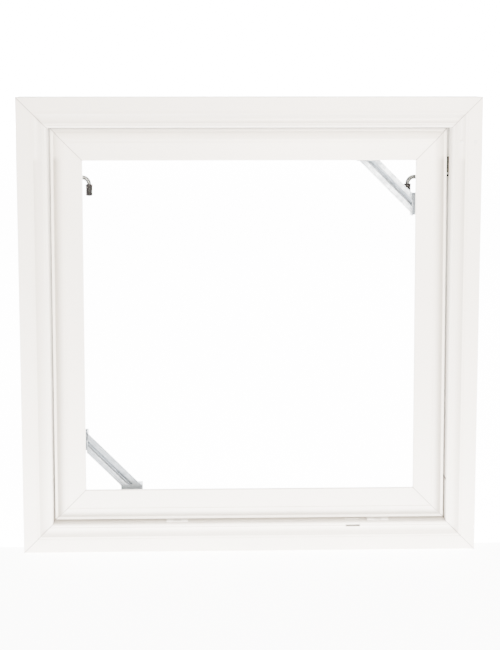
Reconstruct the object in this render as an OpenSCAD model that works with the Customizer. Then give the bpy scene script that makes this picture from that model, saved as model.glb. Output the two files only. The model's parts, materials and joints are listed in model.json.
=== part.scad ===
// A square plastic hopper window seen from the weather side at -Y: a mitred outer frame, a glazed
// sash that tilts into the room at +Y on two low pivots, and two small quarter-turn latch cranks.
// X is the width, Y the depth, Z is up. The origin is the centre of the sill's underside.

/* [Window] */
// Width over the outer frame
window_w = 600; // [500:10:900]
// Height over the outer frame
window_h = 600; // [500:10:900]
// Depth of the outer frame, weather face to room face
frame_depth = 60; // [54:1:80]
// How far the sash stands open at rest, in degrees
ajar = 2; // [1.9:0.1:3]

/* [Frame section] */
// Width of the frame's visible face
frame_face = 39; // [36:1:50]
// Width of the frame's box section behind the stop lip
frame_box = 22; // [20:1:26]
// Depth of the stop lip that the sash closes against
lip_depth = 26; // [22:1:30]
// Distance of the face groove from the frame's outer edge
frame_groove = 18.5; // [14:0.5:20]
// Wall of the hollow plastic sections
wall = 2.6; // [2:0.1:3.2]

/* [Sash section] */
// Width of the sash's face, from its nose edge to the glass opening
sash_face = 41.5; // [40:0.5:50]
// Gap between the sash's nose and the frame's lip
sash_gap = 2.5; // [2.5:0.5:5]
// How far the sash's flange reaches out past its nose
flange = 7.5; // [6:0.5:8]
// How far the sash's nose stands in front of its flange
nose_depth = 27; // [24:1:28]
// Depth of the sash's body, from the flange's front to the room face
body_depth = 21; // [20:0.5:25]
// Width of the flat glazing bead
bead_w = 24; // [24:0.5:26]
// How far the bead overhangs the opening in the sash behind it
bead_over = 13; // [11:0.5:13.5]
// Thickness of the glazing bead
bead_t = 4; // [3:0.5:5]
// Thickness of the glass
glass_t = 4; // [3:0.5:5]
// How deep the glass sits in its rebate
glass_bite = 18; // [18:0.5:19]

/* [Seals and gaskets] */
// Gap between the closed flange and the stop lip
seal_space = 4; // [3:0.5:5]
// Running gap between the closed flange and the seal
seal_play = 0.6; // [0.5:0.1:1]
// Width of the seal
seal_w = 6.2; // [5:0.1:7]
// How far the seal shows past the stop lip
seal_show = 1.2; // [0.5:0.1:1.2]
// Thickness of each glazing gasket
gasket_t = 1; // [0.8:0.1:1.5]
// Width of each glazing gasket
gasket_w = 4; // [3:0.5:4]

/* [Pivots] */
// Radius of a pivot pin
pin_r = 4; // [3:0.5:5]
// Radial play of a pin in its bearing
pin_play = 0.05; // [0.02:0.01:0.09]
// Height of the pivot axis above the sash's bottom edge
pivot_up = 2; // [1:0.5:3]
// Distance of the pivot axis behind the flange's front
pivot_back = 8; // [7:0.5:10]
// Thickness of the zinc plates
plate_t = 2.5; // [2:0.1:3]

/* [Cranks] */
// Diameter of a crank's rod
rod_d = 5.5; // [4:0.5:6.5]
// Radial play of a rod in its bushes
rod_play = 0.05; // [0.02:0.01:0.09]
// Distance of the cranks' axis below the sash's top edge
crank_down = 71.6; // [65:0.1:120]
// Distance of the cranks' axis behind the flange's front
crank_back = 10; // [9.5:0.1:10.5]
// Distance of a lever from the edge of the glass opening
lever_in = 6.5; // [6:0.5:9]
// Radius of the bend in a crank's rod, at its middle
bend_r = 9; // [7:0.5:9]
// Distance from the cranks' axis to the end of a lever
lever_l = 24.5; // [22:0.5:40]
// Diameter of a grip
grip_d = 9; // [7.5:0.5:10]
// Length of a grip
grip_l = 15.5; // [12:0.5:16]
// Distance from a crank's axis to its cam's tip
cam_reach = 11.2; // [10.5:0.1:11.4]
// Thickness of a cam
cam_t = 3; // [2:0.5:4]
// Clearance between moving plates
run_gap = 0.4; // [0.3:0.1:0.8]

/* [Corner braces] */
// Width of a brace across its length
brace_w = 19.5; // [15:0.5:24]
// Distance of a brace's near edge from the opening's corner, along each side
brace_leg = 45; // [40:1:70]
// Thickness of the braces' sheet
brace_t = 1.5; // [1:0.1:2]
// Distance of the braces behind the seat of the glass
brace_back = 16.5; // [15:0.5:17]
// Width of the braces' ends, from the opening's edge to the end of the foot on the sash's room face
brace_foot = 24; // [22:0.5:28]

/* [Fixings] */
// Radius of the wall fixing holes
fixing_r = 3; // [2.5:0.25:4]
// Height between the wall fixing holes in each jamb
fixing_span = 300; // [200:10:400]

/* [Hidden] */
$fn = 48;

half_w = window_w / 2;
mid_z = window_h / 2;
front_y = -frame_depth / 2;
rear_y = frame_depth / 2;
lip_y = front_y + lip_depth;
flange_y = lip_y + seal_space;
nose_y = flange_y - nose_depth;
sash_rear_y = flange_y + body_depth;
nose_half_w = half_w - frame_face - sash_gap;
nose_half_h = mid_z - frame_face - sash_gap;
sash_half_w = nose_half_w + flange;
sash_half_h = nose_half_h + flange;
open_half_w = nose_half_w - sash_face;
open_half_h = nose_half_h - sash_face;
sash_low = mid_z - sash_half_h;
// The bead, the front gasket, the glass and the rear gasket stack up from the nose to the seat
glass_y = nose_y + bead_t + gasket_t;
seat_y = glass_y + glass_t + gasket_t;
rebate_u = bead_w - 0.5;
reveal_end_y = sash_rear_y - 3;
pivot_y = flange_y + pivot_back;
pivot_z = sash_low + pivot_up;
crank_y = flange_y + crank_back;
crank_z = mid_z + sash_half_h - crank_down;
box_x = half_w - frame_box;
bush_t = 1;
reveal_x = open_half_w + bead_over;
bush_r = rod_d / 2 + 1.75;
cam_x = sash_half_w + bush_t + run_gap;
clip_t = 1;
strike_t = 3.2;
strike_y = crank_y + 2.7;
strike_top = crank_z - 6.8;
brace_y = seat_y + brace_back;
tiny = 0.01;

// Points of an arc, in n steps
function arc(cx, cy, r, from, to, n = 10) =
    [for (i = [0 : n]) let (a = from + (to - from) * i / n) [cx + r * cos(a), cy + r * sin(a)]];

// Frame section: u runs inward from the outer edge, the second value is Y
cove_from = frame_groove + 3;
cove_to = frame_face - 5.5;
cove_r = 14;
cove_half = (cove_to - cove_from) / 2;
cove_rise = sqrt(cove_r * cove_r - cove_half * cove_half);
cove_a = asin(cove_half / cove_r);
bead_r = 2.75;
frame_outline = concat(
    [[0, front_y + 0.6], [0.6, front_y], [frame_groove, front_y], [frame_groove, front_y + 0.8],
     [frame_groove + 1.2, front_y + 0.8], [frame_groove + 1.2, front_y]],
    arc((cove_from + cove_to) / 2, front_y - cove_rise, cove_r, 90 + cove_a, 90 - cove_a),
    arc(frame_face - bead_r, front_y + bead_r + 0.2, bead_r, 240, 360, 8),
    [[frame_face, lip_y], [frame_box, lip_y], [frame_box, rear_y], [0, rear_y]]);

// Sash section: u runs outward from the glass opening
slope_from = bead_w + 1;
slope_to = sash_face - 4;
slope_drop = 9;
sash_u = sash_face + flange;
web_u = rebate_u + wall;
slope_w = slope_to - slope_from;
slope_n = 10;
slope = [for (i = [0 : slope_n]) let (t = i / slope_n)
    [slope_from + slope_w * t, nose_y + slope_drop * pow(t, 2.3)]];
sash_outline = concat(
    [[bead_over, seat_y], [rebate_u, seat_y], [rebate_u, nose_y + 0.8], [slope_from, nose_y + 0.8]],
    slope,
    [[sash_face, nose_y + slope_drop + 0.2], [sash_face, flange_y], [sash_u, flange_y],
     [sash_u, sash_rear_y - 1], [sash_u - 1, sash_rear_y],
     [bead_over + 2, sash_rear_y], [bead_over, reveal_end_y]]);

// Turns an outline of (u, y) into a flat section of (y, distance from the window's centre)
module section(outline, out, inward = 1) {
    polygon([for (p = outline) [p[1], out - inward * p[0]]]);
}

module frame_section(out) {
    difference() {
        section(frame_outline, out);
        translate([lip_y + wall, out - frame_box + wall])
            square([rear_y - lip_y - 2 * wall, frame_box - 2 * wall]);
        translate([front_y + wall + 1, out - frame_box + wall])
            square([lip_depth - wall - 1, frame_box - 2 * wall]);
        translate([front_y + wall + 1.6, out - frame_face + wall])
            square([lip_depth - 2 * wall - 1.6, frame_face - frame_box - wall]);
    }
}

module sash_section(open_half) {
    difference() {
        section(sash_outline, open_half, -1);
        translate([seat_y + wall, open_half + bead_over + wall])
            square([sash_rear_y - seat_y - 2 * wall, web_u - bead_over - 1.5 * wall]);
        translate([seat_y + wall, open_half + web_u + wall / 2])
            square([sash_rear_y - seat_y - 2 * wall, sash_face - web_u - 1.5 * wall]);
        translate([flange_y + wall, open_half + web_u + wall / 2])
            square([body_depth - 2 * wall, sash_u - web_u - 1.5 * wall]);
    }
}

// One side of a ring: the section drawn along X at the top, with both ends mitred at its own corners
module member(along, out, deep) {
    intersection() {
        rotate([90, 0, 90]) linear_extrude(2 * along, center = true) children();
        rotate([90, 0, 0]) linear_extrude(3 * frame_depth, center = true)
            polygon([[-along, out], [along, out], [along - deep, out - deep],
                     [deep - along, out - deep]]);
    }
}

// Puts a member drawn at the top on one side of the window: 0 top, 90 right, 180 bottom, 270 left
module side(turn) {
    translate([0, 0, mid_z]) rotate([0, turn, 0]) children();
}

// Tilts what belongs to the sash about its pivots, from closed to its place at rest
module hung() {
    translate([0, pivot_y, pivot_z]) rotate([-ajar, 0, 0]) translate([0, -pivot_y, -pivot_z]) children();
}

// A round bar along X between two places
module bar(x0, x1, y, z, r) {
    translate([min(x0, x1), y, z]) rotate([0, 90, 0]) cylinder(r = r, h = abs(x1 - x0));
}

// A block between two corners
module block(low, high) {
    translate(low) cube(high - low);
}

// A pan-headed screw along +Z, the underside of its head at the origin, with a cross recess
module pan_screw(r, head_r, head_h, length) {
    difference() {
        union() {
            translate([0, 0, -length]) cylinder(r = r, h = length + tiny);
            rotate_extrude() polygon(concat([[0, 0], [head_r, 0]],
                arc(head_r - head_h, 0, head_h, 0, 90, 6), [[0, head_h]]));
        }
        for (a = [0, 90]) rotate([0, 0, a]) translate([-head_r * 0.55, -0.45, head_h - 0.9])
            cube([head_r * 1.1, 0.9, 1]);
    }
}

// Both sides of the window, at X and at -X
module both() {
    for (m = [0, 1]) mirror([m, 0, 0]) children();
}

// ---- The outer frame ----
// A drain slot in the sill's face, and one in the top of its lip that feeds it
drain_w = 19;
drain_h = 2.8;
drain_down = 6.6;
drain_x = 137;
notch_z = 95;

module frame_head() {
    color("whitesmoke") side(0) member(half_w, mid_z, frame_face) frame_section(mid_z);
}

module frame_sill() {
    color("whitesmoke") difference() {
        side(180) member(half_w, mid_z, frame_face) frame_section(mid_z);
        block([drain_x - drain_w / 2, front_y - 1, frame_face - drain_down],
              [drain_x + drain_w / 2, front_y + wall + 2, frame_face - drain_down + drain_h]);
        block([drain_x - drain_w / 2, front_y + lip_depth / 2, frame_face - wall - 1],
              [drain_x + drain_w / 2, front_y + lip_depth / 2 + 4, frame_face + 1]);
    }
}

// The jamb at +X: fixing holes for the wall screws and a small notch in the lip near the pivot
module jamb() {
    difference() {
        side(90) member(mid_z, half_w, frame_face) frame_section(half_w);
        for (s = [-1, 1])
            bar(box_x - 1, half_w + 1, (lip_y + rear_y) / 2, mid_z + s * fixing_span / 2, fixing_r);
        block([half_w - frame_face - 1, front_y + bead_r, notch_z - 2],
              [half_w - frame_face + 1.6, lip_y + 1, notch_z + 2]);
    }
}

plug_r = 2.2;
plug_x = [half_w - 26.6, half_w - 8.4];
plug_z = window_h - 57.5;
module frame_jamb_right() {
    color("whitesmoke") difference() {
        jamb();
        for (x = plug_x) translate([x, front_y - 1, plug_z]) rotate([-90, 0, 0])
            cylinder(r = plug_r, h = 4.2);
    }
}

module frame_jamb_left() {
    color("whitesmoke") mirror([1, 0, 0]) jamb();
}

// Small push-in plugs in the right jamb's face
module face_plugs() {
    color("white") for (x = plug_x) translate([x, front_y + 3.2, plug_z]) rotate([90, 0, 0])
        rotate_extrude() polygon([[0, 0], [plug_r, 0], [plug_r, 2.6], [plug_r - 0.5, 3.1], [0, 3.1]]);
}

// The seal is four mitred strips on the back of the stop lip
module seal_side(turn, along, out) {
    side(turn) member(along, out, seal_w)
        translate([lip_y, out - seal_w]) square([seal_space - seal_play, seal_w]);
}
// The right-hand strip is cut away round the closing buffer
module frame_seal() {
    lip_half_w = half_w - frame_face - seal_show + seal_w;
    lip_half_h = mid_z - frame_face - seal_show + seal_w;
    color("gainsboro") {
        for (turn = [0, 180]) seal_side(turn, lip_half_w, lip_half_h);
        seal_side(270, lip_half_h, lip_half_w);
        difference() {
            seal_side(90, lip_half_h, lip_half_w);
            block([0, lip_y - 1, buffer_low - buffer_foot - 3],
                  [half_w, flange_y + 1, buffer_low + buffer_h + 3]);
        }
    }
}

// Plastic packers on the sill's lip, under the sash's nose
packer_h = sash_gap - 0.8;
module sill_packers() {
    color("white") for (x = [-97, 171]) translate([x - 14, front_y + 6, frame_face]) difference() {
        cube([28, lip_depth - 8, packer_h]);
        translate([9, -1, packer_h - 0.8]) cube([10, lip_depth, 1]);
    }
}

// ---- Pivots ----
bearing_x = sash_half_w + plate_t + 2.5;
plate_low = pivot_z - 8;
plate_screw_z = pivot_z + 18;
module pivot_bearings() {
    color("silver") both() difference() {
        union() {
            block([box_x - plate_t, pivot_y - 10, plate_low], [box_x, pivot_y + 12, pivot_z + 26]);
            bar(bearing_x, box_x, pivot_y, pivot_z, pin_r + 3.5);
        }
        bar(bearing_x - 1, box_x + 1, pivot_y, pivot_z, pin_r + pin_play);
        for (y = [-4, 6]) bar(box_x - plate_t - 1, box_x + 1, pivot_y + y, plate_screw_z, 1.8);
    }
}

module bearing_screws() {
    color("silver") both() for (y = [-4, 6])
        translate([box_x - plate_t, pivot_y + y, plate_screw_z]) rotate([0, -90, 0])
            pan_screw(1.8, 3.2, 1.8, plate_t);
}

// Pins on plates that are screwed to the sash's edges
module pivot_pins() {
    color("silver") hung() both() difference() {
        union() {
            block([sash_half_w, pivot_y - 7, pivot_z - 1.8],
                  [sash_half_w + plate_t, pivot_y + 11, pivot_z + 34]);
            bar(sash_half_w, sash_half_w + plate_t, pivot_y, pivot_z, 7);
            bar(sash_half_w, box_x - 1, pivot_y, pivot_z, pin_r);
        }
        for (z = [16, 28]) bar(sash_half_w - 1, sash_half_w + plate_t + 1, pivot_y + 4, pivot_z + z, 1.8);
    }
}

module pivot_screws() {
    color("silver") hung() both() for (z = [16, 28])
        translate([sash_half_w + plate_t, pivot_y + 4, pivot_z + z]) rotate([0, 90, 0])
            pan_screw(1.8, 3.2, 1.8, plate_t);
}

// Nylon washers on the pins, between the sash's plates and the bearings
module pivot_washers() {
    color("white") hung() both() difference() {
        bar(sash_half_w + plate_t, bearing_x - run_gap, pivot_y, pivot_z, pin_r + 3);
        bar(sash_half_w, box_x, pivot_y, pivot_z, pin_r);
    }
}

// ---- Keepers ----
keeper_t = 3;
module keepers() {
    color("dimgray") both() difference() {
        union() {
            block([box_x - keeper_t, strike_y - 9, strike_top - 30], [box_x, strike_y + 13, strike_top + 18]);
            block([cam_x, strike_y, strike_top - 14], [box_x, strike_y + strike_t, strike_top]);
        }
        for (z = [-24, 12]) bar(box_x - 5, box_x + 1, strike_y + 1.5, strike_top + z, 1.8);
    }
}

module keeper_screws() {
    color("silver") both() for (z = [-24, 12])
        translate([box_x - keeper_t, strike_y + 1.5, strike_top + z]) rotate([0, -90, 0])
            pan_screw(1.8, 3.2, 1.8, keeper_t);
}

// ---- The sash ----
module sash_top_rail() {
    color("whitesmoke") hung() side(0) member(sash_half_w, sash_half_h, sash_u) sash_section(open_half_h);
}

module sash_bottom_rail() {
    color("whitesmoke") hung() side(180) member(sash_half_w, sash_half_h, sash_u)
        sash_section(open_half_h);
}

// A stile has a hole for its crank's bushes through both walls
module stile() {
    difference() {
        side(90) member(sash_half_h, sash_half_w, sash_u) sash_section(open_half_w);
        bar(open_half_w - 1, sash_half_w + 1, crank_y, crank_z, bush_r);
    }
}

module sash_stile_right() {
    color("whitesmoke") hung() stile();
}

module sash_stile_left() {
    color("whitesmoke") hung() mirror([1, 0, 0]) stile();
}

// ---- Glazing ----
bead_outline = [[0, nose_y + 1], [1, nose_y], [bead_w - 0.6, nose_y], [bead_w - 0.6, nose_y + bead_t],
    [rebate_u - 0.2, nose_y + bead_t], [rebate_u - 0.2, seat_y - 0.5], [rebate_u - 2, seat_y - 0.5],
    [rebate_u - 2, nose_y + bead_t], [0.6, nose_y + bead_t], [0, nose_y + bead_t - 0.6]];
module bead_side(turn, along, open_half) {
    color("whitesmoke") hung() side(turn) member(along + bead_w, open_half + bead_w, bead_w)
        section(bead_outline, open_half, -1);
}
module bead_top() { bead_side(0, open_half_w, open_half_h); }
module bead_bottom() { bead_side(180, open_half_w, open_half_h); }
module bead_left() { bead_side(270, open_half_h, open_half_w); }
module bead_right() { bead_side(90, open_half_h, open_half_w); }

module glass_pane() {
    color("lightblue", 0.3) hung()
        block([-open_half_w - glass_bite, glass_y, mid_z - open_half_h - glass_bite],
              [open_half_w + glass_bite, glass_y + glass_t, mid_z + open_half_h + glass_bite]);
}

gasket_half_w = open_half_w + bead_over + 0.5;
gasket_half_h = open_half_h + bead_over + 0.5;
// A flat rubber ring around the edge of the glass
module gasket(y) {
    color("lightgray") hung() difference() {
        block([-gasket_half_w - gasket_w, y, mid_z - gasket_half_h - gasket_w],
              [gasket_half_w + gasket_w, y + gasket_t, mid_z + gasket_half_h + gasket_w]);
        block([-gasket_half_w, y - 1, mid_z - gasket_half_h],
              [gasket_half_w, y + gasket_t + 1, mid_z + gasket_half_h]);
    }
}
module gasket_front() { gasket(glass_y - gasket_t); }
module gasket_rear() { gasket(glass_y + glass_t); }

block_h = rebate_u - 2.2 - glass_bite;
module setting_blocks() {
    color("darkgreen") hung() for (s = [-1, 1])
        block([s * open_half_w * 0.7 - 20, glass_y, mid_z - open_half_h - glass_bite - block_h],
              [s * open_half_w * 0.7 + 20, glass_y + glass_t, mid_z - open_half_h - glass_bite]);
}

// ---- Corner braces ----
// The brace's sheet seen along its length: w runs away from the corner, with a pressed V groove
groove_at = 6.5;
groove_w = 6;
groove_deep = 2.6;
brace_sheet = [[0, 0], [groove_at, 0], [groove_at + groove_w / 2, groove_deep],
    [groove_at + groove_w, 0], [brace_w, 0], [brace_w, brace_t], [groove_at + groove_w + 0.6, brace_t],
    [groove_at + groove_w / 2, groove_deep + brace_t + 0.4], [groove_at - 0.6, brace_t], [0, brace_t]];
tab_l = brace_w * sqrt(2);
// The end flanges are a little longer than the sheet's slanted ends, which stop inside them
tab_more = 1;
fold_in = 0.4;
brace_deep = sash_rear_y - brace_y;
hole_u = bead_over + (brace_foot - bead_over) / 2;
brace_hole_z = [-brace_leg - tab_l * 0.25, -brace_leg - tab_l * 0.75];
// One end, at the side of the opening: a flange that goes back, and a foot on the sash's room face
module brace_end() {
    low = -brace_leg - tab_l - tab_more;
    high = tab_more - brace_leg;
    difference() {
        union() {
            block([-brace_t, 0, low], [0, brace_deep + brace_t, high]);
            block([-brace_t, brace_deep, low], [brace_foot, brace_deep + brace_t, high]);
        }
        for (z = brace_hole_z) translate([hole_u, brace_deep - 1, z]) rotate([-90, 0, 0])
            cylinder(r = 1.8, h = brace_t + 2);
    }
}
// Swaps the two sides of the corner, so that what is drawn at the side comes to the top
module swapped() {
    rotate([0, 90, 0]) mirror([1, 0, 0]) children();
}
// Drawn for the corner at the origin, with the opening towards -X and -Z
module brace() {
    intersection() {
        rotate([0, 45, 0]) translate([0, 0, -brace_leg / sqrt(2)]) rotate([90, 0, 90])
            linear_extrude(4 * brace_leg, center = true)
                polygon([for (p = brace_sheet) [p[1], -p[0]]]);
        block([-3 * brace_leg, -1, -3 * brace_leg], [-fold_in, brace_deep, -fold_in]);
    }
    brace_end();
    swapped() brace_end();
}
module end_fixings() {
    for (z = brace_hole_z) translate([hole_u, brace_deep + brace_t, z]) rotate([-90, 0, 0])
        pan_screw(1.8, 3.2, 1.8, brace_t);
}
module brace_fixings() {
    end_fixings();
    swapped() end_fixings();
}
module at_top_right() {
    hung() translate([open_half_w, brace_y, mid_z + open_half_h]) children();
}
module at_bottom_left() {
    hung() translate([-open_half_w, brace_y, mid_z - open_half_h]) rotate([0, 180, 0]) children();
}
module brace_top_right() { color("lightsteelblue") at_top_right() brace(); }
module brace_bottom_left() { color("lightsteelblue") at_bottom_left() brace(); }
module brace_screws() {
    color("silver") {
        at_top_right() brace_fixings();
        at_bottom_left() brace_fixings();
    }
}

// ---- Closing buffer in the right-hand gap ----
buffer_x = nose_half_w + 0.6;
buffer_low = crank_z + 8;
buffer_h = 19;
buffer_w = 4.4;
buffer_t = 3;
buffer_foot = 7;
module closing_buffer() {
    color([0.1, 0.1, 0.1]) hung() difference() {
        block([buffer_x, flange_y - buffer_t, buffer_low - buffer_foot],
              [buffer_x + buffer_w, flange_y, buffer_low + buffer_h]);
        translate([buffer_x + buffer_w / 2, flange_y, buffer_low - buffer_foot / 2]) rotate([90, 0, 0])
            cylinder(r = 0.9, h = 4);
    }
}
module buffer_screw() {
    color("silver") hung()
        translate([buffer_x + buffer_w / 2, flange_y - buffer_t, buffer_low - buffer_foot / 2])
            rotate([90, 0, 0]) pan_screw(0.9, 1.5, 0.6, buffer_t);
}

// ---- Cranks: each is drawn for the stile at +X ----
module bush() {
    difference() {
        union() {
            bar(reveal_x - bush_t, reveal_x, crank_y, crank_z, bush_r + 1.5);
            bar(reveal_x - bush_t, reveal_x + 6, crank_y, crank_z, bush_r);
        }
        bar(reveal_x - 2, reveal_x + 7, crank_y, crank_z, rod_d / 2 + rod_play);
    }
    difference() {
        union() {
            bar(sash_half_w, sash_half_w + bush_t, crank_y, crank_z, bush_r + 1.5);
            bar(sash_half_w - 6, sash_half_w + bush_t, crank_y, crank_z, bush_r);
        }
        bar(sash_half_w - 7, sash_half_w + 2, crank_y, crank_z, rod_d / 2 + rod_play);
    }
}
module crank_bushes() { color("dimgray") hung() both() bush(); }

rod_end = cam_x + cam_t + clip_t + 0.8;
lever_x = open_half_w - lever_in;
grip_cover = 2.5;
// One rod: the spindle along X, a round bend, and the lever hanging down
module crank_rod() {
    bar(lever_x + bend_r, rod_end, crank_y, crank_z, rod_d / 2);
    translate([lever_x + bend_r, crank_y, crank_z - bend_r]) rotate([90, 0, 0]) rotate([0, 0, 90])
        rotate_extrude(angle = 90) translate([bend_r, 0]) circle(d = rod_d);
    translate([lever_x, crank_y, crank_z - lever_l + grip_cover])
        cylinder(d = rod_d, h = lever_l - grip_cover - bend_r);
}
// A moulded cap on the lever's end, with a rounded bottom and a small lip at its mouth
module crank_grip() {
    r = grip_d / 2;
    translate([lever_x, crank_y, crank_z - lever_l]) difference() {
        rotate_extrude() polygon(concat([[0, 0]], arc(r - 2, 2, 2, -90, 0, 6),
            [[r, grip_l - 2.2], [r + 0.3, grip_l - 1.6], [r + 0.3, grip_l - 0.6],
             [r - 0.4, grip_l], [0, grip_l]]));
        translate([0, 0, grip_cover]) cylinder(d = rod_d, h = grip_l);
    }
}
// The cam points to the weather side at rest, and down when the lever is level
module latch_cam() {
    tip = 2.2;
    difference() {
        union() {
            bar(cam_x, cam_x + cam_t, crank_y, crank_z, rod_d / 2 + 2.1);
            bar(cam_x, cam_x + cam_t, crank_y - cam_reach + tip, crank_z, tip);
            block([cam_x, crank_y - cam_reach + tip, crank_z - tip], [cam_x + cam_t, crank_y, crank_z + tip]);
        }
        bar(cam_x - 1, cam_x + cam_t + 1, crank_y, crank_z, rod_d / 2);
    }
}
module cam_clip() {
    difference() {
        bar(cam_x + cam_t, cam_x + cam_t + clip_t, crank_y, crank_z, rod_d / 2 + 1.8);
        bar(cam_x, rod_end + 1, crank_y, crank_z, rod_d / 2);
    }
}
module crank_rod_right() { color("silver") hung() crank_rod(); }
module crank_rod_left() { color("silver") hung() mirror([1, 0, 0]) crank_rod(); }
module crank_grip_right() { color([0.15, 0.14, 0.14]) hung() crank_grip(); }
module crank_grip_left() { color([0.15, 0.14, 0.14]) hung() mirror([1, 0, 0]) crank_grip(); }
module latch_cam_right() { color("silver") hung() latch_cam(); }
module latch_cam_left() { color("silver") hung() mirror([1, 0, 0]) latch_cam(); }
module cam_clip_right() { color("gray") hung() cam_clip(); }
module cam_clip_left() { color("gray") hung() mirror([1, 0, 0]) cam_clip(); }

frame_head();
frame_sill();
frame_jamb_left();
frame_jamb_right();
frame_seal();
sill_packers();
face_plugs();
pivot_bearings();
bearing_screws();
keepers();
keeper_screws();
sash_top_rail();
sash_bottom_rail();
sash_stile_left();
sash_stile_right();
bead_top();
bead_bottom();
bead_left();
bead_right();
glass_pane();
gasket_front();
gasket_rear();
setting_blocks();
brace_top_right();
brace_bottom_left();
brace_screws();
pivot_pins();
pivot_screws();
pivot_washers();
crank_bushes();
closing_buffer();
buffer_screw();
crank_rod_left();
crank_grip_left();
latch_cam_left();
cam_clip_left();
crank_rod_right();
crank_grip_right();
latch_cam_right();
cam_clip_right();
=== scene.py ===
# %% [markdown]
# # A small plastic hopper window
# A white plastic window: a mitred outer frame, and a glazed sash that tilts into the room on two low
# pivots. Two bent steel rods with black caps work the latches, and two folded steel braces keep the
# sash square. The load-bearing parts come ready made as a fixed frame of CAD nodes, and this lesson
# adds the finishes and the pieces whose shape is better made in a mesh.

# %% Load the frame
import json
import math
import bmesh
import bpy
from mathutils import Matrix, Vector


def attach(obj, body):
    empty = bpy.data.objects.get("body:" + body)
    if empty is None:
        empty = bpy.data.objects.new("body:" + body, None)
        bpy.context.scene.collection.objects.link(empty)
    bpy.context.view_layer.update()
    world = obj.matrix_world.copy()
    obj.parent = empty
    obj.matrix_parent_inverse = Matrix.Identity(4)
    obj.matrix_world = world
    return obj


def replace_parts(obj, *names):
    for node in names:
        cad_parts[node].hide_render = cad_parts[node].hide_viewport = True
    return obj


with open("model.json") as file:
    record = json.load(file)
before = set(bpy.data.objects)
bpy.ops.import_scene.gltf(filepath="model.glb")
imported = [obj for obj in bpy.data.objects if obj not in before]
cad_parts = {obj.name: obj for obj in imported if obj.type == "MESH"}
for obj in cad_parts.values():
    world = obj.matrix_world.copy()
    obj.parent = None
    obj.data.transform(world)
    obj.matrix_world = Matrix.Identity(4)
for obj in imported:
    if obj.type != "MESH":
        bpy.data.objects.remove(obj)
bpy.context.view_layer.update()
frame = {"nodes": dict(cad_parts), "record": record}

MM = 0.001

# %% [markdown]
# The sash is stored ajar, so everything on it leans. It is easiest to build such a piece upright, as if
# the sash were closed, and to lean it once at the end. The tilt joint says where the pivot is, and the
# lower end of its range is how far the sash has to turn back to close.

# %% Where the sash leans
joints = {j["name"]: j for j in frame["record"]["behaviour"]["joints"]}
tilt = joints["sash_tilt"]
pivot = Vector(tilt["pos_m"])
ajar = -math.radians(tilt["range_deg"][0])
lean = Matrix.Translation(pivot) @ Matrix.Rotation(-ajar, 4, "X") @ Matrix.Translation(-pivot)
upright = lean.inverted()

def upright_box(node):
    """The corners of a leaning node's box, with the lean taken out."""
    points = [upright @ v.co for v in frame["nodes"][node].data.vertices]
    low = Vector([min(p[i] for p in points) for i in range(3)])
    high = Vector([max(p[i] for p in points) for i in range(3)])
    return low, high

pane_low, pane_high = upright_box("glass_pane")
middle_z = (pane_low.z + pane_high.z) / 2
print("sash ajar by", round(math.degrees(ajar), 2), "degrees")

# %% [markdown]
# ## Camera
# A camera is a place, a direction and a lens. It stands to the left of the middle and above it, and
# looks slightly down and to the right, so the inner faces of the sill and the right jamb show. A long
# lens from far away keeps the edges nearly parallel.

# %% Camera
camera_data = bpy.data.cameras.new("camera")
camera_data.lens = 94.6
camera_data.sensor_width = 36
camera = bpy.data.objects.new("camera", camera_data)
bpy.context.scene.collection.objects.link(camera)
camera.location = (-0.076, -2.2335, 0.6426)
look_down = math.radians(8.71)
look_right = math.radians(1.97)
camera.rotation_euler = (math.pi / 2 - look_down, 0, -look_right)
bpy.context.scene.camera = camera
print("camera at", [round(v, 3) for v in camera.location])

# %% [markdown]
# ## Floor and light
# A glowing strip of floor and a glowing wall behind the window make its ground pure white. They are
# only as wide as the picture needs, because a wider one would shine through the opening and flatten
# the mouldings. The floor around them is plain grey. The key is a warm panel in front, a little above
# the window's middle, so the mouldings' sides and hollows shade off. Two weaker panels fill in from
# above and from the room. The world is slightly cool, which shows in the metal.

# %% Floor and light
def plain_material(name, colour, roughness):
    material = bpy.data.materials.new(name)
    material.use_nodes = True
    shader = material.node_tree.nodes["Principled BSDF"]
    shader.inputs["Base Color"].default_value = (*colour, 1)
    shader.inputs["Roughness"].default_value = roughness
    return material

def glowing_paper(name, glow):
    """White paper lit from behind, as in a product studio's light table."""
    material = plain_material(name, (0.93, 0.93, 0.93), 0.9)
    shader = material.node_tree.nodes["Principled BSDF"]
    shader.inputs["Emission Color"].default_value = (1, 1, 1, 1)
    shader.inputs["Emission Strength"].default_value = glow
    return material

def paper(name, width, depth, place, material):
    """A flat sheet of paper, drawn around the origin and put in place by a matrix."""
    shape = bmesh.new()
    bmesh.ops.create_grid(shape, x_segments=1, y_segments=1, size=0.5)
    bmesh.ops.scale(shape, vec=(width, depth, 1), verts=shape.verts)
    bmesh.ops.transform(shape, matrix=place, verts=shape.verts)
    data = bpy.data.meshes.new(name)
    shape.to_mesh(data)
    shape.free()
    data.materials.append(material)
    sheet = bpy.data.objects.new(name, data)
    bpy.context.scene.collection.objects.link(sheet)

# The glowing paper's width, how far it reaches to the front and to the back, and the wall's height
glow_w, glow_front, glow_back, wall_h = 7, -0.6, 15, 6
floor_size = 40
floor_below = 0.002
paper("floor", floor_size, floor_size, Matrix.Translation((0, 0, -floor_below)),
      plain_material("studio_floor", (0.55, 0.55, 0.55), 0.9))
paper("front_floor", glow_w, -glow_front, Matrix.Translation((0, glow_front / 2, 0)),
      glowing_paper("front_glow", 9))
paper("back_floor", glow_w, glow_back, Matrix.Translation((0, glow_back / 2, 0)),
      glowing_paper("back_glow", 14))
paper("glow_wall", glow_w, wall_h,
      Matrix.Translation((0, glow_back, wall_h / 2)) @ Matrix.Rotation(math.pi / 2, 4, "X"),
      glowing_paper("wall_glow", 14))

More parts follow.
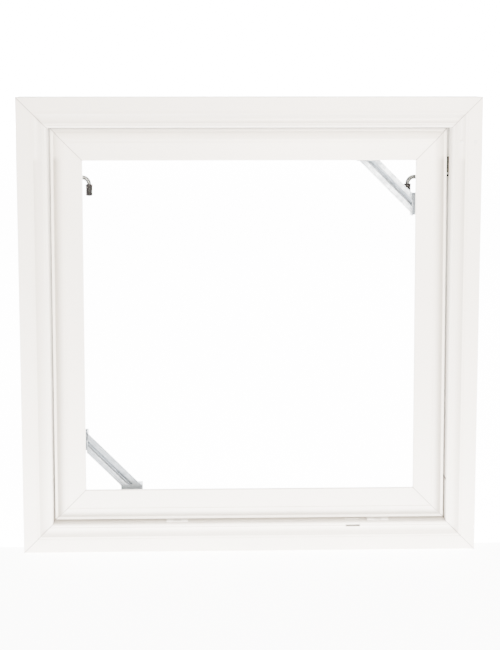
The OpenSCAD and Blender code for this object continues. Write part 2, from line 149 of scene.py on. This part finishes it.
def soft_lamp(name, place, target, size, power, colour=(1, 1, 1)):
    """A square area lamp that faces a point."""
    data = bpy.data.lights.new(name, "AREA")
    data.color = colour
    data.size = size
    data.energy = power
    lamp = bpy.data.objects.new(name, data)
    lamp.location = place
    lamp.rotation_euler = (Vector(target) - Vector(place)).to_track_quat("-Z", "Y").to_euler()
    bpy.context.scene.collection.objects.link(lamp)

window_middle = (0, 0, middle_z)
warm = (1, 0.90, 0.80)
soft_lamp("key_panel", (0.5, -3.2, 1.05), window_middle, 1.0, 395, warm)
soft_lamp("top_panel", (0.2, -1.4, 3.0), window_middle, 2.0, 40, warm)
soft_lamp("room_panel", (1.2, 2.8, 2.2), window_middle, 2.0, 60)

world = bpy.data.worlds.new("studio")
bpy.context.scene.world = world
world.use_nodes = True
world.node_tree.nodes["Background"].inputs["Color"].default_value = (0.93, 0.98, 1, 1)
world.node_tree.nodes["Background"].inputs["Strength"].default_value = 0.4
print("lamps:", len(bpy.data.lights))

# %% [markdown]
# ## Writing shaders as sums
# A material is a graph of nodes, which is slow to read as links. The class below wraps one socket, so
# that `mask * 0.5 + 0.1` adds the two Math nodes. Values only go through it. Colours are mixed by a Mix
# node, and any other node comes from `Graph.node`.

# %% Shader helpers
class Value:
    """A socket that carries a number, with Python's operators."""
    def __init__(self, graph, socket):
        self.graph = graph
        self.socket = socket

    def maths(self, operation, *others):
        return self.graph.node("ShaderNodeMath", {"operation": operation}, (self, *others)).value()

    def __add__(self, other): return self.maths("ADD", other)
    def __radd__(self, other): return self.maths("ADD", other)
    def __sub__(self, other): return self.maths("SUBTRACT", other)
    def __rsub__(self, other): return Value.of(self.graph, other, "SUBTRACT", self)
    def __mul__(self, other): return self.maths("MULTIPLY", other)
    def __rmul__(self, other): return self.maths("MULTIPLY", other)
    def __gt__(self, other): return self.maths("GREATER_THAN", other)
    def __abs__(self): return self.maths("ABSOLUTE")
    def least(self, other): return self.maths("MINIMUM", other)
    def most(self, other): return self.maths("MAXIMUM", other)

    @staticmethod
    def of(graph, number, operation, value):
        return graph.node("ShaderNodeMath", {"operation": operation}, (number, value)).value()

    def ramp(self, low, high):
        """0 below low, 1 above high, smooth between."""
        made = self.graph.node("ShaderNodeMapRange", {"interpolation_type": "SMOOTHSTEP"},
                               {"Value": self, "From Min": low, "From Max": high})
        return made.value("Result")

class Made:
    """A node that has been made, and its outputs."""
    def __init__(self, graph, node):
        self.graph = graph
        self.node = node

    def value(self, name=0):
        return Value(self.graph, self.node.outputs[name])

class Graph:
    """The node tree of one new material, with its Principled shader."""
    def __init__(self, name):
        self.material = bpy.data.materials.new(name)
        self.material.use_nodes = True
        self.tree = self.material.node_tree
        self.shader = self.tree.nodes["Principled BSDF"]
        self.place = self.node("ShaderNodeTexCoord").node.outputs["Object"]

    def node(self, kind, settings=None, inputs=()):
        """Adds a node, sets it, and gives its sockets a value or a link."""
        made = self.tree.nodes.new(kind)
        for key, setting in (settings or {}).items():
            setattr(made, key, setting)
        pairs = inputs.items() if isinstance(inputs, dict) else enumerate(inputs)
        for key, given in pairs:
            self.feed(made.inputs[key], given)
        return Made(self, made)

    def feed(self, socket, given):
        if isinstance(given, Value):
            given = given.socket
        if isinstance(given, bpy.types.NodeSocket):
            self.tree.links.new(given, socket)
        else:
            socket.default_value = given

    def set(self, **sockets):
        """Sets sockets of the shader: base_color is Base Color, and so on."""
        for key, given in sockets.items():
            self.feed(self.shader.inputs[key.replace("_", " ").title().replace("Ior", "IOR")], given)

    def noise(self, scale, detail=3, roughness=0.5, stretch=(1, 1, 1), place=None):
        """Noise on the object's own coordinates, about 0.5, optionally stretched along an axis."""
        mapped = self.node("ShaderNodeMapping", {}, {"Vector": place or self.place, "Scale": stretch})
        made = self.node("ShaderNodeTexNoise", {},
                         {"Vector": mapped.node.outputs[0], "Scale": scale, "Detail": detail,
                          "Roughness": roughness})
        return made.value("Fac")

    def blend(self, amount, first, second):
        """A colour between two, by a value from 0 to 1."""
        made = self.tree.nodes.new("ShaderNodeMix")
        made.data_type = "RGBA"
        self.feed(made.inputs[0], amount)
        for socket, colour in ((made.inputs[6], first), (made.inputs[7], second)):
            self.feed(socket, colour if isinstance(colour, bpy.types.NodeSocket) else (*colour, 1))
        return made.outputs[2]

    def bump(self, height, distance, strength=1.0, after=None):
        inputs = {"Height": height, "Distance": distance, "Strength": strength}
        if after:
            inputs["Normal"] = after
        return self.node("ShaderNodeBump", {}, inputs).node.outputs[0]

    def axes(self, place=None):
        """The three coordinates as values."""
        made = self.node("ShaderNodeSeparateXYZ", {}, (place or self.place,))
        return made.value(0), made.value(1), made.value(2)

print("shader helpers ready")

# %% [markdown]
# ## White window plastic
# Extruded window plastic is satin white with a trace of warm grey. Up close it has fine lines along the
# extrusion, a slow mottle where it was wiped, and a little grey dust that settles low down and in the
# corners. These stay faint, because more would look dirty from arm's length. The hollow that runs round
# the moulding is given painted shade, clearly greyer, except along the top. One function makes the
# finish for the frame, the sash, the beads, the welds and the small moulded parts, with the tones as
# inputs.

# %% White plastic
# The hollow's painted shade: how soft its inner edge is, and the band near the top where it fades out
cove_edge = 0.8 * MM
head_band = (0.215, 0.225)

def white_plastic(name, tone, dust_and_shade_tone, rough, leaning, cove=(1, 2)):
    g = Graph(name)
    place = g.place
    if leaning:
        turned = g.node("ShaderNodeMapping", {"vector_type": "TEXTURE"},
                        {"Vector": g.place, "Location": pivot, "Rotation": (-ajar, 0, 0)})
        moved = g.node("ShaderNodeVectorMath", {"operation": "ADD"}, (turned.node.outputs[0], pivot))
        place = moved.node.outputs[0]
    x, y, z = g.axes(place)
    # How far a point is from the nearest mitre, which lie on the square's diagonals
    mitre = abs(abs(x) - abs(z - middle_z)) * math.sqrt(0.5)
    upright_member = (abs(x) > abs(z - middle_z)).ramp(0.4, 0.6)
    along_z = g.noise(900, 2, 0.6, (1, 1, 0.012), place)
    along_x = g.noise(900, 2, 0.6, (0.012, 1, 1), place)
    drawn = along_z * upright_member + along_x * (1 - upright_member)
    mottle = g.noise(14, 4, 0.6, place=place)
    specks = g.noise(420, 2, 0.7, place=place).ramp(0.70, 0.78)
    corner = (1 - mitre.ramp(0.0, 0.02)) * mottle.ramp(0.35, 0.8)
    low = (1 - z.ramp(0.0, 0.14)) * mottle.ramp(0.3, 0.75)
    # The hollow that runs round the moulding gets painted shade, which mostly fades out along the top
    ring = abs(x).most(abs(z - middle_z))
    hollow_shade = ring.ramp(cove[0], cove[1]) * (1 - ring.ramp(cove[1], cove[1] + cove_edge))
    hollow_shade = hollow_shade * (1 - (z - middle_z).ramp(*head_band) * 0.85)
    # Real dust (corners, low down, mottle, specks) and the hollow's painted shade share one mask and one
    # darker tone
    dust_and_shade = (corner * 0.20 + low * 0.18 + mottle * 0.08 + specks * 0.10 + hollow_shade).least(1)
    fine = g.bump(drawn, 0.00002, 0.5)
    g.set(base_color=g.blend(dust_and_shade, tone, dust_and_shade_tone), roughness=mottle * 0.10 + drawn * 0.05 + rough,
          normal=g.bump(mottle, 0.0006, 0.10, fine), coat_weight=0.12, coat_roughness=0.2)
    return g.material

# Where the frame's and the sash's hollows lie, for their painted shade; the sash's darker second tone
# serves that shade as well as its dust
frame_cove = (middle_z - 0.034, middle_z - 0.022)
sash_cove = (pane_high.x + 0.006, pane_high.x + 0.0200)
frame_white = white_plastic("frame_white", (0.87, 0.84, 0.79), (0.62, 0.59, 0.54), 0.30, False,
                            frame_cove)
sash_white = white_plastic("sash_white", (0.88, 0.85, 0.80), (0.50, 0.475, 0.435), 0.28, True, sash_cove)
bead_white = white_plastic("bead_white", (0.885, 0.855, 0.805), (0.73, 0.70, 0.64), 0.26, True)
weld_white = white_plastic("weld_white", (0.40, 0.38, 0.36), (0.30, 0.28, 0.26), 0.6, False)
moulded_white = white_plastic("moulded_white", (0.86, 0.85, 0.83), (0.68, 0.66, 0.62), 0.40, False)
print("white plastics: 5")

# %% [markdown]
# ## Rubber, nylon and black caps
# Soft plastics are matt and slightly uneven. The grips are moulded in a hard black plastic that shows
# a fine spark-eroded grain, with a faint brown bloom where rust has rubbed off the rod.

# %% Rubber, nylon and black caps
def soft_plastic(name, tone, worn_tone, rough, grain, depth, sheen=0.3):
    g = Graph(name)
    mottle = g.noise(60, 4, 0.6)
    pores = g.noise(grain, 2, 0.7)
    worn = mottle.ramp(0.45, 0.85)
    g.set(base_color=g.blend(worn, tone, worn_tone), roughness=pores * 0.2 + rough,
          normal=g.bump(pores, depth, 0.6), specular_ior_level=sheen)
    return g.material

seal_grey = soft_plastic("seal_grey", (0.36, 0.36, 0.35), (0.28, 0.28, 0.27), 0.55, 700, 0.00006)
gasket_grey = soft_plastic("gasket_grey", (0.62, 0.62, 0.60), (0.50, 0.50, 0.48), 0.5, 700, 0.00006)
cap_black = soft_plastic("cap_black", (0.008, 0.007, 0.007), (0.022, 0.016, 0.012), 0.5, 1400, 0.00005,
                         sheen=0.15)
buffer_black = soft_plastic("buffer_black", (0.008, 0.008, 0.008), (0.02, 0.02, 0.02), 0.6, 900, 0.00008,
                            sheen=0.15)
nylon_black = soft_plastic("nylon_black", (0.025, 0.025, 0.027), (0.05, 0.05, 0.05), 0.42, 1100, 0.00004)
nylon_pale = soft_plastic("nylon_pale", (0.74, 0.73, 0.69), (0.62, 0.60, 0.55), 0.4, 800, 0.00004)
block_green = soft_plastic("block_green", (0.05, 0.17, 0.09), (0.08, 0.22, 0.13), 0.45, 800, 0.00004)
print("soft plastics: 7")

# %% [markdown]
# ## Zinc
# Plated steel is metallic but dull, with a cloudy grey-green cast, fine lines from drawing or rolling,
# and a few darker patches. Hot-dip galvanised sheet is bluer and shows spangle: crystals a few
# millimetres wide, each with its own grey. A Voronoi texture gives every crystal one value, which
# steers both the colour and the roughness.

# %% Zinc
def plated_steel(name, tone, dull_tone, rough, line_axis, spangle=0.0):
    g = Graph(name)
    clouds = g.noise(90, 4, 0.65)
    stretch = [1, 1, 1]
    stretch[line_axis] = 0.03
    lines = g.noise(1500, 2, 0.6, stretch)
    patches = clouds.ramp(0.42, 0.72)
    shade = patches * 0.6 + lines * 0.25
    if spangle:
        crystal = g.node("ShaderNodeTexVoronoi", {"feature": "F1"}, {"Vector": g.place, "Scale": 260.0})
        grey = g.node("ShaderNodeSeparateColor", {}, (crystal.node.outputs["Color"],)).value(0)
        shade = shade * (1 - spangle) + grey * spangle
    g.set(base_color=g.blend(shade.least(1), tone, dull_tone), metallic=0.82,
          roughness=shade * 0.16 + rough, normal=g.bump(lines, 0.00003, 0.5))
    return g.material

# The rods' zinc is set far darker than plated zinc is: painted shade for the dark reflections along the
# rods
rod_zinc_painted_dark = plated_steel("rod_zinc_painted_dark", (0.09, 0.094, 0.088), (0.03, 0.033, 0.028), 0.30, 2)
plate_zinc = plated_steel("plate_zinc", (0.42, 0.43, 0.42), (0.24, 0.25, 0.24), 0.32, 2)
screw_zinc = plated_steel("screw_zinc", (0.50, 0.50, 0.48), (0.30, 0.30, 0.28), 0.28, 0)
brace_zinc = plated_steel("brace_zinc", (0.30, 0.335, 0.37), (0.17, 0.195, 0.225), 0.34, 1, spangle=0.55)
print("metals: 4")

# %% [markdown]
# ## Glass
# A real pane refracts, but a renderer then darkens what is behind it and leaves noise. A clean pane
# looks the same if nearly all light goes straight through and only a trace of sheen stays, so the
# alpha is under two percent, a little more where a faint film of dust lies.

# %% Glass
def clear_glass():
    g = Graph("clear_glass")
    film = g.noise(9, 5, 0.65).ramp(0.45, 0.9)
    g.set(base_color=(0.35, 0.38, 0.37, 1), roughness=film * 0.08 + 0.03, alpha=film * 0.006 + 0.006)
    g.material.surface_render_method = "BLENDED"
    return g.material

glass = clear_glass()
print("glass made")

# %% [markdown]
# ## Dressing the CAD nodes
# A node whose CAD shape is right only needs its finish. The dictionary says which finish each one has,
# and the loop puts it in the node's own material slots. The nodes keep their flat shading, which suits
# straight, mitred sections.

# %% Finishes of the CAD nodes
finishes = {
    frame_white: ["frame_head", "frame_sill", "frame_jamb_left", "frame_jamb_right"],
    sash_white: ["sash_top_rail", "sash_bottom_rail", "sash_stile_left", "sash_stile_right"],
    bead_white: ["bead_top", "bead_bottom", "bead_left", "bead_right"],
    moulded_white: ["sill_packers", "face_plugs"],
    seal_grey: ["frame_seal"],
    gasket_grey: ["gasket_front", "gasket_rear"],
    glass: ["glass_pane"],
    block_green: ["setting_blocks"],
    plate_zinc: ["pivot_bearings", "pivot_pins"],
    rod_zinc_painted_dark: ["crank_rod_left", "crank_rod_right", "latch_cam_left", "latch_cam_right"],
    screw_zinc: ["bearing_screws", "keeper_screws", "brace_screws", "pivot_screws", "buffer_screw",
                 "cam_clip_left", "cam_clip_right"],
    brace_zinc: ["brace_top_right", "brace_bottom_left"],
    cap_black: ["crank_grip_left", "crank_grip_right"],
    nylon_black: ["keepers", "crank_bushes"],
    nylon_pale: ["pivot_washers"],
    buffer_black: ["closing_buffer"],
}
for material, names in finishes.items():
    for name in names:
        slots = frame["nodes"][name].data.materials
        if not slots:
            slots.append(material)
        for i in range(len(slots)):
            slots[i] = material
print("dressed", sum(len(names) for names in finishes.values()), "of", len(frame["nodes"]))

# %% [markdown]
# ## New pieces
# Every new piece starts as a bmesh in the upright sash's place, is shaped by operators, and is leaned
# and given its body and its material by one function. Normals are worked out again
# after doubles are merged, because spin and mirror can turn a shape inside out.

# %% The last step of every piece
def finish_piece(name, shape, body, material, leans=True, smooth=35):
    bmesh.ops.remove_doubles(shape, verts=shape.verts, dist=0.000001)
    bmesh.ops.recalc_face_normals(shape, faces=shape.faces)
    if leans:
        bmesh.ops.transform(shape, matrix=lean, verts=shape.verts)
    data = bpy.data.meshes.new(name)
    shape.to_mesh(data)
    shape.free()
    data.materials.append(material)
    piece = bpy.data.objects.new(name, data)
    bpy.context.scene.collection.objects.link(piece)
    if smooth:
        data.shade_smooth()
        data.set_sharp_from_angle(angle=math.radians(smooth))
    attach(piece, body)
    print(name, len(data.polygons), "faces")
    return piece

# %% [markdown]
# ## Weld lines
# The corners of such a frame are melted together, and the bead of melt is trimmed flush. What is left
# is a hair line along each mitre that stands up a tenth of a millimetre and is greyer. A thin
# slice is cut out of a copy of the member by two planes beside the mitre, and puffed up slightly, so it
# follows the moulding exactly.

# %% Weld lines
weld_half = 0.5 * MM
weld_rise = 0.10 * MM
weld_back = -4.5 * MM
mitre_slack = 0.02 * MM
weld_name = {(1, 1): "top_right", (-1, 1): "top_left", (1, -1): "bottom_right", (-1, -1): "bottom_left"}

def everything(shape):
    return [*shape.verts, *shape.edges, *shape.faces]

def cut_off(shape, point, direction):
    """Cuts away what lies beyond the plane through a point, on the side its direction points to."""
    bmesh.ops.bisect_plane(shape, geom=everything(shape), plane_co=point, plane_no=direction,
                           clear_outer=True)

def weld(node, side_x, side_z, kind, body, leaning):
    """One weld line, from a copy of a horizontal member, at the corner on side_x and side_z."""
    shape = bmesh.new()
    shape.from_mesh(frame["nodes"][node].data)
    bmesh.ops.remove_doubles(shape, verts=shape.verts, dist=0.000005)
    if leaning:
        bmesh.ops.transform(shape, matrix=upright, verts=shape.verts)
    # The mitre runs through the window's middle, on the diagonal
    across = Vector((side_x, 0, -side_z)).normalized()
    middle = Vector((0, 0, middle_z))
    # The copy ends at the mitre, so the slice is cut on its own side and then mirrored across it
    cut_off(shape, middle - across * weld_half, -across)
    # Only the part in front of the flange and the seal shows
    cut_off(shape, (0, weld_back, 0), (0, 1, 0))
    wrong = [v for v in shape.verts if v.co.x * side_x < 0]
    bmesh.ops.delete(shape, geom=wrong, context="VERTS")
    on_mitre = [f for f in shape.faces
                if all(abs((v.co - middle).dot(across)) < mitre_slack for v in f.verts)]
    bmesh.ops.delete(shape, geom=on_mitre, context="FACES")
    other = bmesh.ops.duplicate(shape, geom=everything(shape))
    copied = [v for v in other["geom"] if isinstance(v, bmesh.types.BMVert)]
    swap = Matrix.Identity(3) - 2 * Matrix([[a * b for b in across] for a in across])
    about_middle = Matrix.Translation(middle) @ swap.to_4x4() @ Matrix.Translation(-middle)
    bmesh.ops.transform(shape, matrix=about_middle, verts=copied)
    bmesh.ops.remove_doubles(shape, verts=shape.verts, dist=0.00001)
    bmesh.ops.recalc_face_normals(shape, faces=shape.faces)
    shape.normal_update()
    for v in shape.verts:
        v.co += v.normal * weld_rise
    edges = [e for e in shape.edges if e.is_boundary]
    if edges:
        bmesh.ops.holes_fill(shape, edges=edges, sides=0)
    finish_piece(f"{kind}_weld_{weld_name[side_x, side_z]}", shape, body, weld_white,
                 leans=leaning, smooth=0)

# The horizontal members at the top and at the bottom, from the outside in
upper = ("frame_head", "sash_top_rail", "bead_top")
lower = ("frame_sill", "sash_bottom_rail", "bead_bottom")
for side_x, side_z in weld_name:
    frame_node, sash_node, bead_node = upper if side_z > 0 else lower
    weld(frame_node, side_x, side_z, "frame", "frame", False)
    weld(sash_node, side_x, side_z, "sash", "sash", True)
    weld(bead_node, side_x, side_z, "bead", "sash", True)

# %% [markdown]
# ## Crank rods
# A crank is one round rod, cut, chamfered and bent cold. A circle is extruded along the straight
# stretches and spun round the bend, so the section stays round all the way.

# %% Crank rods
rod_r = 2.75 * MM
chamfer = 0.5 * MM
bend_r = 9 * MM
grip_l = 15.5 * MM
rod_in_cap = 3 * MM

def crank_rod(hand, side):
    """One bent rod, from its end at the sash's edge to where the cap hides it."""
    low, high = upright_box(f"crank_rod_{hand}")
    grip_low, _ = upright_box(f"crank_grip_{hand}")
    axis_y = (low.y + high.y) / 2
    axis_z = high.z - rod_r
    outer_x, lever_x = (high.x, low.x + rod_r) if side > 0 else (low.x, high.x - rod_r)
    shape = bmesh.new()
    start = Matrix.Translation((outer_x, axis_y, axis_z)) @ Matrix.Rotation(math.pi / 2, 4, "Y")
    ring = bmesh.ops.create_circle(shape, cap_ends=False, segments=32, radius=rod_r - chamfer,
                                   matrix=start)["verts"]
    edges = list(shape.edges)
    bmesh.ops.contextual_create(shape, geom=ring)
    def pull(edges, shift, grow=0.0):
        """Extrudes a ring of edges, moves it, and widens it by grow."""
        made = bmesh.ops.extrude_edge_only(shape, edges=edges)["geom"]
        points = [v for v in made if isinstance(v, bmesh.types.BMVert)]
        centre = sum((v.co for v in points), Vector()) / len(points)
        for v in points:
            v.co += (v.co - centre).normalized() * grow + shift
        return [e for e in made if isinstance(e, bmesh.types.BMEdge)]
    edges = pull(edges, Vector((-side * chamfer, 0, 0)), chamfer)
    straight = abs(outer_x - lever_x) - bend_r - chamfer
    edges = pull(edges, Vector((-side * straight, 0, 0)))
    made = bmesh.ops.spin(shape, geom=edges, cent=(lever_x + side * bend_r, axis_y, axis_z - bend_r),
                          axis=(0, -side, 0), angle=math.pi / 2, steps=12, use_duplicate=False)
    edges = [e for e in made["geom_last"] if isinstance(e, bmesh.types.BMEdge)]
    drop = axis_z - bend_r - grip_low.z - rod_in_cap
    edges = pull(edges, Vector((0, 0, -drop)))
    bmesh.ops.holes_fill(shape, edges=edges, sides=0)
    return finish_piece(f"bent_rod_{hand}", shape, f"crank_{hand}", rod_zinc_painted_dark, smooth=40)

for hand, side in (("left", -1), ("right", 1)):
    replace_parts(crank_rod(hand, side), f"crank_rod_{hand}")

# %% [markdown]
# ## Black caps
# Each lever ends in a pushed-on cap with a rounded end, a slightly thicker mouth, and shallow grooves
# for the finger tip. Half its outline is spun once round the lever.

# %% Black caps
cap_r = 4.5 * MM
cap_corner = 2.4 * MM
corner_steps = 6
lip = 0.3 * MM
mouth_r = rod_r + 0.1 * MM
mouth_deep = 0.8 * MM
groove_deep = 0.25 * MM
groove_half = 0.5 * MM
groove_pitch = 2.0 * MM
groove_first = 4.2 * MM
groove_count = 4

def cap_outline():
    """Half the cap's outline, from the middle of its bottom to its mouth, as (radius, height)."""
    points = [(0, 0)]
    for i in range(corner_steps + 1):
        turn = math.pi / 2 * i / corner_steps
        points.append((cap_r - cap_corner + cap_corner * math.sin(turn),
                       cap_corner * (1 - math.cos(turn))))
    for i in range(groove_count):
        z = groove_first + i * groove_pitch
        points += [(cap_r, z - groove_half), (cap_r - groove_deep, z - groove_half / 2),
                   (cap_r - groove_deep, z + groove_half / 2), (cap_r, z + groove_half)]
    points += [(cap_r, grip_l - 2.2 * MM), (cap_r + lip, grip_l - 1.6 * MM),
               (cap_r + lip, grip_l - 0.7 * MM), (cap_r - lip, grip_l),
               (mouth_r, grip_l), (mouth_r, grip_l - mouth_deep), (0, grip_l - mouth_deep)]
    return points

for hand in ("left", "right"):
    low, high = upright_box(f"crank_grip_{hand}")
    base = Vector(((low.x + high.x) / 2, (low.y + high.y) / 2, low.z))
    shape = bmesh.new()
    points = [shape.verts.new(base + Vector((r, 0, z))) for r, z in cap_outline()]
    edges = [shape.edges.new(pair) for pair in zip(points, points[1:])]
    bmesh.ops.spin(shape, geom=points + edges, cent=base, axis=(0, 0, 1), angle=2 * math.pi, steps=40,
                   use_merge=True, use_duplicate=False)
    cap = finish_piece(f"lever_cap_{hand}", shape, f"crank_{hand}", cap_black, smooth=40)
    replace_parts(cap, f"crank_grip_{hand}")

# %% [markdown]
# ## Corner braces
# A brace is folded sheet: a strip with a pressed groove across the corner, and at each end a flange that
# goes back beside the opening and turns outward onto the sash's room face. Each of the three sheets is
# a line of points with rounded folds. The line is thickened to an outline and drawn out along one
# direction, and two planes cut the strip's slanted ends.

# %% Folded sheets
sheet_t = 1.5 * MM

def rounded(points, radius, steps=6):
    """A line of 2D points, with a smooth curve in place of every inner corner."""
    points = [Vector(p) * MM for p in points]
    line = [points[0]]
    for before, corner, after in zip(points, points[1:], points[2:]):
        to_before = (before - corner).normalized()
        to_after = (after - corner).normalized()
        back = radius / math.tan(to_before.angle(to_after) / 2)
        start = corner + to_before * back
        end = corner + to_after * back
        for i in range(steps + 1):
            t = i / steps
            line.append(start * (1 - t) ** 2 + corner * 2 * t * (1 - t) + end * t ** 2)
    return line + [points[-1]]

def thick_outline(line):
    """The closed outline of a line with the sheet's thickness, half on each side."""
    left, right = [], []
    for i, point in enumerate(line):
        ahead = line[min(i + 1, len(line) - 1)] - line[max(i - 1, 0)]
        aside = Vector((-ahead.y, ahead.x)).normalized() * sheet_t / 2
        left.append(point + aside)
        right.append(point - aside)
    return left + right[::-1]

def folded_sheet(points, radius, place, length):
    """A new shape: the sheet whose line lies in place's XY plane, drawn out along its Z."""
    sheet = bmesh.new()
    outline = [sheet.verts.new(place @ Vector((*p, 0))) for p in thick_outline(rounded(points, radius))]
    face = sheet.faces.new(outline)
    made = bmesh.ops.extrude_face_region(sheet, geom=[face], use_keep_orig=True)["geom"]
    moved = [v for v in made if isinstance(v, bmesh.types.BMVert)]
    bmesh.ops.translate(sheet, vec=place.to_3x3().col[2] * length, verts=moved)
    return sheet

def add_to(shape, sheet, place):
    """Moves the sheet's faces into the shape."""
    bmesh.ops.transform(sheet, matrix=place, verts=sheet.verts)
    data = bpy.data.meshes.new("sheet")
    sheet.to_mesh(data)
    sheet.free()
    shape.from_mesh(data)
    bpy.data.meshes.remove(data)

# %% Corner braces
# In millimetres
brace_w = 19.5
brace_leg = 45
brace_foot = 24
fold_in = 0.4 * MM
strip_fold = 1.2 * MM
end_fold = 1.5 * MM
# The strip's section in millimetres, with the groove's bottom in the middle
strip_line = [(0, 0.75), (6.2, 0.75), (9.5, 3.45), (12.8, 0.75), (brace_w, 0.75)]
# The ends reach past the strip's edges by this much
tab_past = 1
tab_low = -brace_leg - brace_w * math.sqrt(2) - tab_past
tab_length = (tab_past - brace_leg - tab_low) * MM
# Swaps X and Z, so that an end drawn at the side comes to the top
swap_sides = Matrix(((0, 0, 1, 0), (0, 1, 0, 0), (1, 0, 0, 0), (0, 0, 0, 1)))

def corner_brace(name, node, corner, deep, turn):
    """One brace, drawn for a corner at the origin with the opening towards -X and -Z."""
    away = Vector((-1, 0, -1)).normalized()
    along = Vector((1, 0, -1)).normalized()
    near = away * brace_leg * MM / math.sqrt(2)
    reach = 2 * brace_leg * MM
    place = Matrix((away, Vector((0, 1, 0)), along)).transposed().to_4x4()
    place.translation = near - along * reach
    strip = folded_sheet(strip_line, strip_fold, place, 2 * reach)
    for out in (Vector((1, 0, 0)), Vector((0, 0, 1))):
        cut_off(strip, out * -fold_in, out)
        bmesh.ops.holes_fill(strip, edges=[e for e in strip.edges if e.is_boundary], sides=0)
    shape = bmesh.new()
    add_to(shape, strip, Matrix())
    half = sheet_t / MM / 2
    for place in (Matrix(), swap_sides):
        end = folded_sheet([(-half, 0), (-half, deep / MM + half), (brace_foot, deep / MM + half)],
                           end_fold, Matrix.Translation((0, 0, tab_low * MM)), tab_length)
        add_to(shape, end, place)
    bmesh.ops.transform(shape, matrix=Matrix.Translation(corner) @ turn, verts=shape.verts)
    piece = finish_piece(name, shape, "sash", brace_zinc, smooth=30)
    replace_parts(piece, node)

low, high = upright_box("brace_top_right")
deep = high.y - low.y - sheet_t
foot = brace_foot * MM
corner_brace("folded_brace_top_right", "brace_top_right", (high.x - foot, low.y, high.z - foot), deep,
             Matrix())
low, high = upright_box("brace_bottom_left")
corner_brace("folded_brace_bottom_left", "brace_bottom_left", (low.x + foot, low.y, low.z + foot), deep,
             Matrix.Rotation(math.pi, 4, "Y"))
